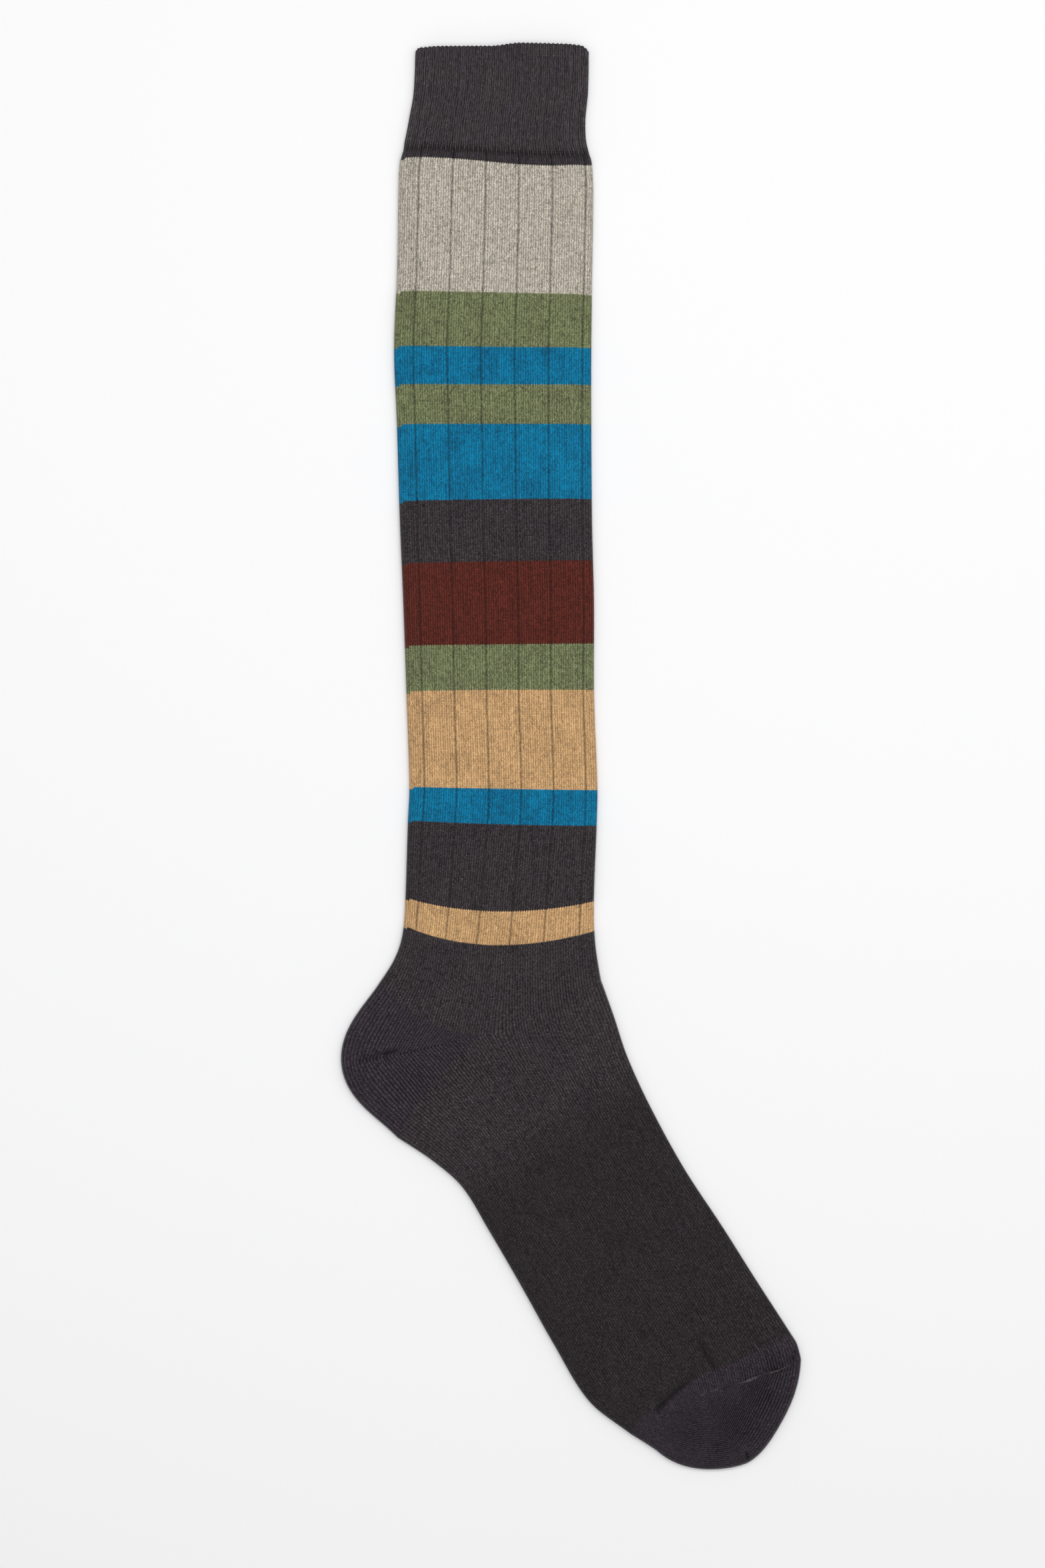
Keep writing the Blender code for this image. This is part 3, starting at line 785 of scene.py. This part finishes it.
def make_seam_sheet(ankle_end):
    """The toe's linked seam: a thin wavy cord of loops that lies across the instep and sinks
    into the knit round the fold."""
    halves = foot_halves(TOE_GORE, ankle_end)
    places = np.arange(HALF_SIDE + 0.5, 3 * HALF_SIDE - 0.5, 0.25)
    sink = SEAM_SINK * smooth_step((places - 2 * HALF_SIDE + 11) / 6) - SEAM_LIFT
    middle = ring_points(halves, places, sink)
    outward = ring_points(halves, places, sink - 0.001) - middle
    outward /= np.linalg.norm(outward, axis=1, keepdims=True)
    forward = np.gradient(middle, axis=0)
    forward /= np.linalg.norm(forward, axis=1, keepdims=True)
    sideways = np.cross(forward, outward)
    wave = 0.00006 * np.sin(math.pi * places) + 0.00026 * np.sin(places / 2.3)
    wave = wave - 0.0004 * np.sin(places / 6.5)
    lumps = 0.20 * np.cos(2 * math.pi * places) + 0.35 * np.sin(places * 0.9)
    lumps = lumps + 0.25 * np.sin(places * 0.31)
    thick = SEAM_RADIUS * (1 + lumps)
    ends = np.minimum(places - places[0], places[-1] - places) / 2
    thick = thick * np.sqrt(np.clip(ends, 0.0, 1.0))
    middle = middle + sideways * wave[:, None]
    angles = np.linspace(0.0, 2 * math.pi, 9)
    points = np.array([middle + (outward * math.cos(angle) + sideways * math.sin(angle)) * thick[:, None]
                       for angle in angles])
    wales = np.tile(places, (len(angles), 1))
    courses = np.tile(angles[:, None] / math.pi, (1, len(places)))
    shade = np.tile(0.65 + 0.35 * np.sin(places * 0.55 + 1.0), (len(angles), 1))
    return Sheet(points, wales, courses, shade)


def bent_instep(ankle, foot):
    """The ankle's and the foot's sheets with their wales bent softly over the instep, where the
    two would otherwise meet at an angle."""
    lower, upper = foot[0].points, ankle[0].points
    ankle_lines = len(steps((LEG_PIECES[-1].down - LEG_PIECES[-2].down) * LEG_LENGTH, LINE_STEP))
    end = upper[ankle_lines - 1]
    coming = end - upper[ankle_lines - 2]
    going = lower[1] - lower[0]
    coming /= np.linalg.norm(coming, axis=1, keepdims=True)
    going /= np.linalg.norm(going, axis=1, keepdims=True)
    place = (foot[0].wales[0] + RIB_LINE_FOOT) % ROUND
    from_right_fold = np.abs(place - ROUND / 2)
    softened = smooth_step((HALF_SIDE - from_right_fold) / 10)
    softened = softened * (0.35 + 0.65 * smooth_step(from_right_fold / 14))

    def bent(sheet):
        away = np.linalg.norm((sheet.points - end)[..., :2], axis=2)
        bend = (np.sqrt(away ** 2 + INSTEP_BEND ** 2) - away) / 2 * np.exp(-(away / 0.03) ** 2)
        moved = (going - coming)[..., :2] * (bend * softened)[..., None]
        points = sheet.points.copy()
        points[..., :2] += moved
        return sheet._replace(points=points)
    return [bent(sheet) for sheet in ankle], [bent(sheet) for sheet in foot]


def frame_shift():
    """From the sock's plan to the shared frame, by the left folds of two of its bands."""
    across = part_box("blue_band_2")[0][0] - leg_row(LEG_PIECES[4], LEG_PIECES[5], 0.0).left[0]
    band_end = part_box("green_band_1")[1][1] + CLEARANCE / 2
    along = band_end - leg_row(LEG_PIECES[1], LEG_PIECES[2], 0.0).left[1]
    return np.array((across, along, 0.0))


def laid(sheet, move):
    """A sheet in the sock's frame, with its creases and soft unevenness pressed into the top, and
    with painted shade in its creases and its stretched grooves."""
    points = sheet.points + move
    x, y, z = points[..., 0], points[..., 1], points[..., 2]
    on_top = smooth_step((z - FOLD_HEIGHT / 2) / (FOLD_HEIGHT * 0.6))
    broad = np.sin(x * 95 + 1.3 * np.sin(y * 31)) * np.sin(y * 62 + 2.1 * np.sin(x * 37))
    narrow = np.sin(x * 210 + y * 90) * np.sin(y * 140 - x * 60 + 1.0)
    uneven = 0.00016 * broad + 0.00010 * narrow
    shade = np.zeros(x.shape)
    for crease in CREASES:
        run = np.array((crease.x2 - crease.x1, crease.y2 - crease.y1))
        length = np.linalg.norm(run)
        along = ((x - crease.x1) * run[0] + (y - crease.y1) * run[1]) / length ** 2
        beside = ((x - crease.x1) * run[1] - (y - crease.y1) * run[0]) / length
        past = np.maximum(np.abs(along - 0.5) - 0.5, 0.0) * length
        press = np.exp(-(beside / crease.width) ** 2 - (past / (crease.width * 1.5)) ** 2)
        uneven -= crease.depth * press
        shade = np.maximum(shade, crease.shade * press)
    painted_groove_shade = np.zeros(x.shape)
    for spot in STRETCHES:
        away = ((x - spot.x) ** 2 + (y - spot.y) ** 2) / spot.reach ** 2
        painted_groove_shade = np.maximum(painted_groove_shade, spot.shade * np.exp(-away))
    shade = np.maximum(shade, painted_groove_shade * 2 * from_crest(sheet.wales))
    points[..., 2] = z + uneven * on_top
    return sheet._replace(points=points, shade=np.maximum(sheet.shade, shade * on_top))


def knit_mesh(name, sheets):
    """One closed mesh of grids whose shared points are welded; its map counts the stitches."""
    whole = bmesh.new()
    for sheet in sheets:
        lines, columns = sheet.wales.shape
        grid = bmesh.new()
        bmesh.ops.create_grid(grid, x_segments=columns - 1, y_segments=lines - 1, size=0.5)
        part = bpy.data.meshes.new(name)
        grid.to_mesh(part)
        grid.free()
        flat = np.empty(len(part.vertices) * 3)
        part.vertices.foreach_get("co", flat)
        flat = flat.reshape(-1, 3)
        column = np.rint((flat[:, 0] + 0.5) * (columns - 1)).astype(int)
        line = np.rint((flat[:, 1] + 0.5) * (lines - 1)).astype(int)
        part.vertices.foreach_set("co", sheet.points[line, column].ravel())
        corner = np.empty(len(part.loops), dtype=int)
        part.loops.foreach_get("vertex_index", corner)
        stitches = np.stack((sheet.wales[line, column], sheet.courses[line, column]), axis=1)
        part.uv_layers.new(name="stitches").data.foreach_set("uv", stitches[corner].ravel())
        shade = part.attributes.new("shade", "FLOAT", "POINT")
        shade.data.foreach_set("value", sheet.shade[line, column])
        whole.from_mesh(part)
        bpy.data.meshes.remove(part)
    bmesh.ops.remove_doubles(whole, verts=whole.verts, dist=WELD)
    bmesh.ops.recalc_face_normals(whole, faces=whole.faces)
    mesh = bpy.data.meshes.new(name)
    whole.to_mesh(mesh)
    whole.free()
    mesh.shade_smooth()
    mesh.set_sharp_from_angle(angle=math.radians(75.0))
    return mesh


def linear_colour(code):
    """An sRGB hex code as the linear colour that a shader reads."""
    channels = [int(code[place:place + 2], 16) / 255 for place in (1, 3, 5)]
    return [c / 12.92 if c <= 0.04045 else ((c + 0.055) / 1.055) ** 2.4 for c in channels] + [1.0]


def add_node(tree, kind, inputs, **settings):
    """A node with its settings, and with values or links for its inputs; gives its first output."""
    node = tree.nodes.new(kind)
    for name, value in settings.items():
        setattr(node, name, value)
    for socket, value in inputs.items():
        if isinstance(value, bpy.types.NodeSocket):
            tree.links.new(value, node.inputs[socket])
        else:
            node.inputs[socket].default_value = value
    return node.outputs[0]


# A yarn's look. colour: the yarn's own, and tint: what it drifts to in patches. fleck: the
# colour of its stray fibres, and flecks: how much of it they take. uneven: how much single
# loops differ in tone. valley: how dark the painted shade in the valleys between the wales is.
# groove: how dark the painted shade is where the mesh's shade is 1, as in a deep crease or the
# cuff's grooves. gap: how dark the painted shade in the gaps between a wale's loops is. fuzz: its halo
# of fibre ends.
Yarn = namedtuple("Yarn", "colour tint fleck flecks uneven valley groove gap fuzz")
YARNS = {
    "charcoal_rib": Yarn("#443D42", "#433D3F", "#716B72", 0.35, 0.34, 0.62, 0.94, 0.34, 0.40),
    "grey_knit": Yarn("#C7BFB0", "#C2BAAD", "#6E695E", 0.60, 0.30, 0.48, 0.92, 0.32, 0.30),
    "green_knit": Yarn("#767C58", "#737B56", "#A8AE84", 0.38, 0.36, 0.50, 0.90, 0.35, 0.30),
    "blue_knit": Yarn("#00719C", "#0076A0", "#1490B8", 0.35, 0.28, 0.46, 0.88, 0.35, 0.08),
    "charcoal_knit": Yarn("#3A3337", "#393335", "#6B6468", 0.40, 0.48, 0.68, 0.72, 0.50, 0.40),
    "maroon_knit": Yarn("#60261B", "#5C241B", "#803E33", 0.35, 0.32, 0.60, 0.80, 0.45, 0.40),
    "tan_knit": Yarn("#D3A978", "#D3A978", "#916A41", 0.50, 0.22, 0.45, 0.92, 0.32, 0.30),
    "plum_black_knit": Yarn("#39313A", "#383038", "#655C65", 0.45, 0.44, 0.74, 0.90, 0.58, 0.40),
    "plum_grey_linking_yarn": Yarn("#534E53", "#4C474C", "#6D686D", 0.30, 0.30, 0.20, 0.75, 0.30, 0.40),
}


def make_knit_material(name):
    """Combed cotton, circular-knitted in fine plain stitch: matt, with slanted loops in columns,
    tone that changes from loop to loop, flecks of other fibre and a slight halo of fibre ends,
    and painted shade in its valleys, gaps, grooves and creases."""
    yarn = YARNS[name]
    material = bpy.data.materials.new("combed_cotton_" + name)
    material.use_nodes = True
    tree = material.node_tree
    shader = tree.nodes["Principled BSDF"]

    math_node = "ShaderNodeMath"

    stitches = add_node(tree, "ShaderNodeUVMap", {}, uv_map="stitches")
    where = add_node(tree, "ShaderNodeTexCoord", {}).node.outputs["Object"]
    # Noise counted in stitches follows the knit. Lying knit is never even, so its wales waver by
    # up to a quarter of their width of 1 mm. Flecks are half a wale wide and a course long,
    # streaks run for twenty courses down single wales, and blotches are two or three stitches
    # across.
    noises = {}
    for pattern, across_wales, along_courses, detail in (
            ("waver", 0.9, 0.7, 1.0), ("fleck", 2.4, 0.9, 2.0),
            ("streak", 1.1, 0.05, 2.0), ("blotch", 0.45, 0.30, 2.0)):
        placed = add_node(tree, "ShaderNodeMapping",
                          {"Vector": stitches, "Scale": (across_wales, along_courses, 1.0)})
        noises[pattern] = add_node(tree, "ShaderNodeTexNoise",
                                   {"Vector": placed, "Scale": 1.0, "Detail": detail},
                                   noise_dimensions="2D")
    # Clouds of tone are 10 mm across. The fuzz of single fibres is drawn 0.4 mm coarse, because
    # the real fibres, 0.02 mm thick, would not show.
    cloud = add_node(tree, "ShaderNodeTexNoise", {"Vector": where, "Scale": 95.0, "Detail": 3.0})
    fibre = add_node(tree, "ShaderNodeTexNoise", {"Vector": where, "Scale": 2600.0, "Detail": 2.0})

    counted = add_node(tree, "ShaderNodeSeparateXYZ", {0: stitches}).node.outputs
    aside = add_node(tree, math_node, {0: noises["waver"], 1: 0.5}, operation="SUBTRACT")
    wale = add_node(tree, math_node, {0: aside, 1: 0.55, 2: counted["X"]}, operation="MULTIPLY_ADD")
    nearest = add_node(tree, math_node, {0: wale}, operation="ROUND")
    beside = add_node(tree, math_node, {0: wale, 1: nearest}, operation="SUBTRACT")
    away = add_node(tree, math_node, {0: beside}, operation="ABSOLUTE")
    # A loop's two legs slant up and away from the middle of its wale
    slanted = add_node(tree, math_node, {0: away, 1: -1.1, 2: counted["Y"]}, operation="MULTIPLY_ADD")
    loop = add_node(tree, math_node, {0: slanted}, operation="FLOOR")
    within = add_node(tree, math_node, {0: slanted, 1: loop}, operation="SUBTRACT")
    side = add_node(tree, math_node, {0: beside, 1: 0.0}, operation="GREATER_THAN")
    leg_key = add_node(tree, "ShaderNodeCombineXYZ", {0: nearest, 1: loop, 2: side})
    tone = add_node(tree, "ShaderNodeTexWhiteNoise", {"Vector": leg_key}, noise_dimensions="3D")

    # A leg stands highest halfway along it, and a wale in its middle
    left_over = add_node(tree, math_node, {0: 1.0, 1: within}, operation="SUBTRACT")
    halfway = add_node(tree, math_node, {0: within, 1: left_over}, operation="MULTIPLY")
    along_leg = add_node(tree, math_node, {0: halfway, 1: 4.0}, operation="MULTIPLY")
    fall = add_node(tree, math_node, {0: away, 1: away}, operation="MULTIPLY")
    fall = add_node(tree, math_node, {0: fall, 1: 4.0}, operation="MULTIPLY")
    round_wale = add_node(tree, math_node, {0: 1.0, 1: fall}, operation="SUBTRACT")
    height = add_node(tree, math_node, {0: round_wale, 1: 0.5}, operation="MULTIPLY")
    for pattern, weight in ((along_leg, 0.5), (fibre, 0.25)):
        height = add_node(tree, math_node, {0: pattern, 1: weight, 2: height}, operation="MULTIPLY_ADD")
    bump = add_node(tree, "ShaderNodeBump", {"Height": height, "Distance": 0.00016, "Strength": 0.9})

    # The yarn's own colour, with patches of its tint and then its flecks over them
    base = linear_colour(yarn.colour)
    for pattern, low, high, amount, code in ((cloud, 0.40, 0.60, 1.0, yarn.tint),
                                             (noises["fleck"], 0.52, 0.75, yarn.flecks, yarn.fleck)):
        share = add_node(tree, "ShaderNodeMapRange",
                         {"Value": pattern, "From Min": low, "From Max": high, "To Max": amount},
                         interpolation_type="SMOOTHSTEP")
        mixed = add_node(tree, "ShaderNodeMix", {"Factor": share, 6: base, 7: linear_colour(code)},
                         data_type="RGBA")
        base = mixed.node.outputs[2]

    # Brighter and darker loops, streaks, clouds and blotches
    bright = 1.0
    for pattern, weight in ((tone, 2 * yarn.uneven), (noises["streak"], 0.60), (cloud, 0.45),
                            (noises["blotch"], 0.50)):
        centred = add_node(tree, math_node, {0: pattern, 1: 0.5}, operation="SUBTRACT")
        bright = add_node(tree, math_node, {0: centred, 1: weight, 2: bright}, operation="MULTIPLY_ADD")
    # Painted shade in the valleys between the wales and the gaps between the loops, and the mesh's shade
    shade = add_node(tree, "ShaderNodeAttribute", {}, attribute_name="shade", attribute_type="GEOMETRY")
    shade = shade.node.outputs["Fac"]
    for pattern, low, high, at_low, at_high in ((away, 0.15, 0.50, 1.0, 1 - yarn.valley),
                                                (along_leg, 0.0, 0.8, 1 - yarn.gap, 1.0),
                                                (shade, SHADE_SHOWS, 1.0, 1.0, 1 - yarn.groove)):
        factor = add_node(tree, "ShaderNodeMapRange",
                          {"Value": pattern, "From Min": low, "From Max": high,
                           "To Min": at_low, "To Max": at_high},
                          interpolation_type="SMOOTHSTEP")
        bright = add_node(tree, math_node, {0: bright, 1: factor}, operation="MULTIPLY")
    colour = add_node(tree, "ShaderNodeVectorMath", {0: base, "Scale": bright}, operation="SCALE")

    tree.links.new(colour.node.outputs["Vector"], shader.inputs["Base Color"])
    tree.links.new(bump, shader.inputs["Normal"])
    shader.inputs["Roughness"].default_value = 0.92
    shader.inputs["Specular IOR Level"].default_value = 0.25
    shader.inputs["Sheen Weight"].default_value = yarn.fuzz
    shader.inputs["Sheen Roughness"].default_value = 0.35
    return material


def make_piece(name, mesh, material, slot, *nodes):
    """One of the sock's pieces, in place of the solids that it stands for."""
    mesh.materials.append(material)
    piece = bpy.data.objects.new(name, mesh)
    bpy.context.scene.collection.objects.link(piece)
    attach(piece, "root")
    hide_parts(*nodes)


def make_studio():
    """A plain pale floor, a large soft light above, two softer ones beside it and pale
    surroundings."""
    bm = bmesh.new()
    bmesh.ops.create_grid(bm, x_segments=1, y_segments=1, size=3.0)
    mesh = bpy.data.meshes.new("floor")
    bm.to_mesh(mesh)
    bm.free()
    paper = bpy.data.materials.new("matt_white_paper")
    paper.use_nodes = True
    shader = paper.node_tree.nodes["Principled BSDF"]
    shader.inputs["Base Color"].default_value = linear_colour("#F4F4F5")
    shader.inputs["Roughness"].default_value = 0.9
    shader.inputs["Specular IOR Level"].default_value = 0.2
    mesh.materials.append(paper)
    floor = bpy.data.objects.new("floor", mesh)
    bpy.context.scene.collection.objects.link(floor)
    softboxes = (
        ("light_above", (0.10, 0.28, 1.9), 1.5, 23.8),
        ("light_right", (1.0, 0.3, 1.25), 1.0, 4.2),
        ("light_left", (-1.0, 0.2, 1.25), 1.0, 3.0),
    )
    for name, place, size, power in softboxes:
        data = bpy.data.lights.new(name, "AREA")
        data.shape = "SQUARE"
        data.size = size
        data.energy = power
        light = bpy.data.objects.new(name, data)
        light.location = place
        towards_sock = light.location.copy()
        towards_sock.y -= place[1]
        light.rotation_euler = towards_sock.to_track_quat("Z", "Y").to_euler()
        bpy.context.scene.collection.objects.link(light)
    world = bpy.data.worlds.new("pale_studio")
    world.use_nodes = True
    background = world.node_tree.nodes["Background"]
    background.inputs["Color"].default_value = (1.0, 1.0, 1.0, 1.0)
    background.inputs["Strength"].default_value = 0.34
    bpy.context.scene.world = world
    bpy.context.scene.view_settings.view_transform = "Standard"


make_camera()
ankle_row = leg_row(LEG_PIECES[-2], LEG_PIECES[-1], 1.0)
sheets = {"cuff": [make_cuff_sheet()]}
yarns = {"cuff": "charcoal_rib", "foot": "charcoal_knit",
         "heel": "plum_black_knit", "toe": "plum_black_knit"}
for upper, lower in zip(LEG_PIECES, LEG_PIECES[1:]):
    sheets[lower.name] = [make_leg_sheet(upper, lower)]
    yarns[lower.name] = lower.yarn
sheets["heel"] = [make_heel_sheet(ankle_row)]
sheets["foot"] = [make_foot_sheet(ankle_row)]
sheets["toe"] = make_toe_sheets(ankle_row)

sheets["ankle"], sheets["foot"] = bent_instep(sheets["ankle"], sheets["foot"])
move = frame_shift()

materials = {name: make_knit_material(name) for name in YARNS}
sheets["toe_seam"] = [make_seam_sheet(ankle_row)]
yarns["toe_seam"] = "plum_grey_linking_yarn"
for name, some in sheets.items():
    mesh = knit_mesh(name, [laid(sheet, move) for sheet in some])
    nodes = [] if name == "toe_seam" else [name]
    slot = "plum_black_knit" if name == "toe_seam" else yarns[name]
    make_piece(name, mesh, materials[yarns[name]], slot, *nodes)
make_studio()
